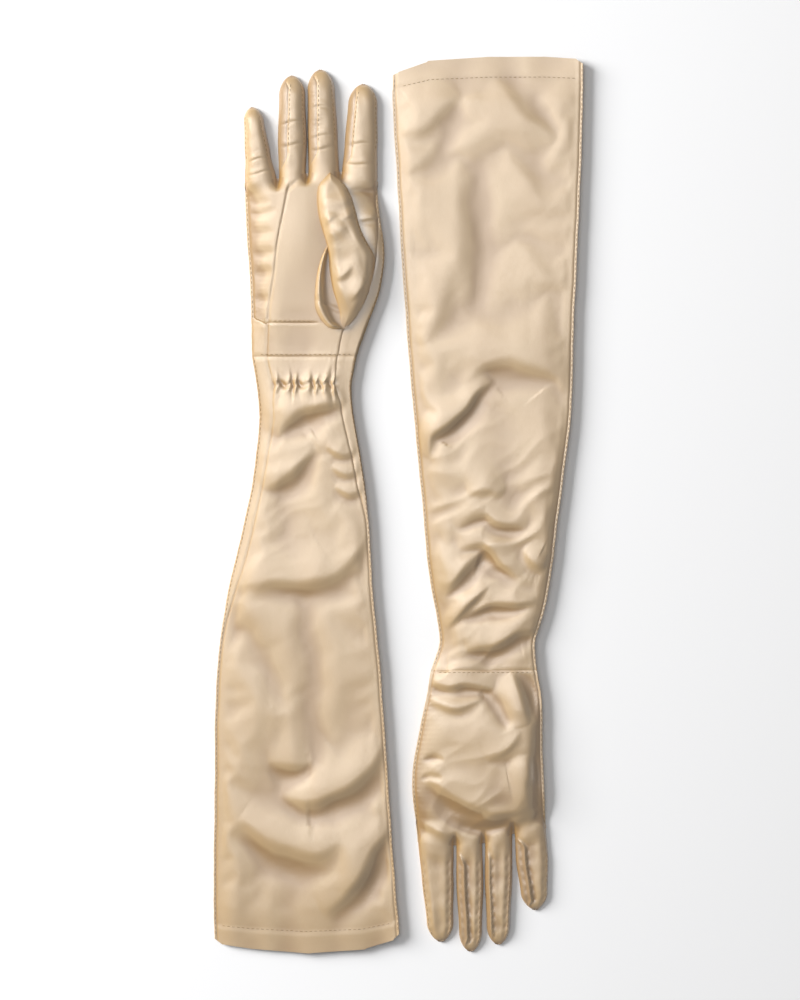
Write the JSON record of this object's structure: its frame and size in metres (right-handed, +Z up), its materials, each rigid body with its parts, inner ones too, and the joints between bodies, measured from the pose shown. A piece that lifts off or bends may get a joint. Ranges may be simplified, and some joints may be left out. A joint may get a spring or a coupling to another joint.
{
  "type": "pair of opera gloves",
  "caption": "Long satin opera gloves for the right and left hand, with gathered wrists, laid flat side by side",
  "frame": {"origin": "on the table under the middle of the pair, at its bounding box's bottom centre", "axes": "+X from the right-hand glove to the left-hand glove, +Y along the gloves towards the right-hand glove's fingertips, +Z up off the table"},
  "size_m": [0.2436, 0.591, 0.0222],
  "materials": {
    "satin": "champagne satin weave, soft sheen",
    "facing": "champagne satin, side strips and turned hem",
    "elastic": "woven elastic tape inside its casing"
  },
  "bodies": {
    "right_sleeve": {"right_sleeve_palm_panel": "satin", "right_sleeve_back_panel": "satin", "right_cuff_hem": "facing", "right_wrist_elastic": "elastic"},
    "right_hand": {"right_heel_panel": "satin", "right_palm_panel": "satin", "right_hand_back_panel": "satin"},
    "right_thumb": {"right_thumb_outer_panel": "satin", "right_thumb_inner_panel": "satin", "right_thumb_gusset": "satin"},
    "right_little": {"right_little_palm_piece": "satin", "right_little_back_piece": "satin", "right_little_fourchette_inner": "facing"},
    "right_ring": {"right_ring_palm_piece": "satin", "right_ring_back_piece": "satin", "right_ring_fourchette_outer": "facing", "right_ring_fourchette_inner": "facing"},
    "right_middle": {"right_middle_palm_piece": "satin", "right_middle_back_piece": "satin", "right_middle_fourchette_outer": "facing", "right_middle_fourchette_inner": "facing"},
    "right_index": {"right_index_palm_piece": "satin", "right_index_back_piece": "satin", "right_index_fourchette_outer": "facing"},
    "left_sleeve": {"left_sleeve_palm_panel": "satin", "left_sleeve_back_panel": "satin", "left_cuff_hem": "facing", "left_wrist_elastic": "elastic"},
    "left_hand": {"left_heel_panel": "satin", "left_palm_panel": "satin", "left_hand_back_panel": "satin"},
    "left_thumb": {"left_thumb_outer_panel": "satin", "left_thumb_inner_panel": "satin", "left_thumb_gusset": "satin"},
    "left_little": {"left_little_palm_piece": "satin", "left_little_back_piece": "satin", "left_little_fourchette_inner": "facing"},
    "left_ring": {"left_ring_palm_piece": "satin", "left_ring_back_piece": "satin", "left_ring_fourchette_outer": "facing", "left_ring_fourchette_inner": "facing"},
    "left_middle": {"left_middle_palm_piece": "satin", "left_middle_back_piece": "satin", "left_middle_fourchette_outer": "facing", "left_middle_fourchette_inner": "facing"},
    "left_index": {"left_index_palm_piece": "satin", "left_index_back_piece": "satin", "left_index_fourchette_outer": "facing"}
  },
  "joints": [
    {"name": "right_wrist_fold", "type": "hinge", "parent": "right_sleeve", "child": "right_hand", "pos_m": [-0.062, 0.098, 0.012], "axis": [1, 0, 0], "range_deg": [0, 90]},
    {"name": "right_little_fold", "type": "hinge", "parent": "right_hand", "child": "right_little", "pos_m": [-0.0909, 0.2135, 0.0104], "axis": [0.9883, 0.1528, 0], "range_deg": [0, 90]},
    {"name": "right_ring_fold", "type": "hinge", "parent": "right_hand", "child": "right_ring", "pos_m": [-0.07, 0.2168, 0.0104], "axis": [0.9992, 0.0392, 0], "range_deg": [0, 90]},
    {"name": "right_middle_fold", "type": "hinge", "parent": "right_hand", "child": "right_middle", "pos_m": [-0.0493, 0.2191, 0.0104], "axis": [1, -0.0059, 0], "range_deg": [0, 90]},
    {"name": "right_index_fold", "type": "hinge", "parent": "right_hand", "child": "right_index", "pos_m": [-0.0256, 0.2163, 0.0104], "axis": [1, 0.0033, 0], "range_deg": [0, 90]},
    {"name": "left_wrist_fold", "type": "hinge", "parent": "left_sleeve", "child": "left_hand", "pos_m": [0.056, -0.109, 0.0126], "axis": [-1, 0, 0], "range_deg": [0, 90]},
    {"name": "left_little_fold", "type": "hinge", "parent": "left_hand", "child": "left_little", "pos_m": [0.08685, -0.21475, 0.0104], "axis": [-0.9941, -0.1085, 0], "range_deg": [0, 90]},
    {"name": "left_ring_fold", "type": "hinge", "parent": "left_hand", "child": "left_ring", "pos_m": [0.06605, -0.2198, 0.0104], "axis": [-0.9997, -0.0251, 0], "range_deg": [0, 90]},
    {"name": "left_middle_fold", "type": "hinge", "parent": "left_hand", "child": "left_middle", "pos_m": [0.0467, -0.2236, 0.0104], "axis": [-0.9992, -0.041, 0], "range_deg": [0, 90]},
    {"name": "left_index_fold", "type": "hinge", "parent": "left_hand", "child": "left_index", "pos_m": [0.0246, -0.22315, 0.0104], "axis": [-0.996, -0.0896, 0], "range_deg": [0, 90]},
    {"name": "right_thumb_swing", "type": "hinge", "parent": "right_hand", "child": "right_thumb", "pos_m": [-0.031, 0.143, 0.015], "axis": [0, 0, -1], "range_deg": [0, 50]},
    {"name": "left_thumb_swing", "type": "hinge", "parent": "left_hand", "child": "left_thumb", "pos_m": [0.033, -0.148, 0.001], "axis": [0, 0, -1], "range_deg": [0, 45]},
    {"name": "left_glove_lift", "type": "slide", "parent": "right_sleeve", "child": "left_sleeve", "axis": [0, 0, 1], "range_m": [0, 0.2]}
  ]
}
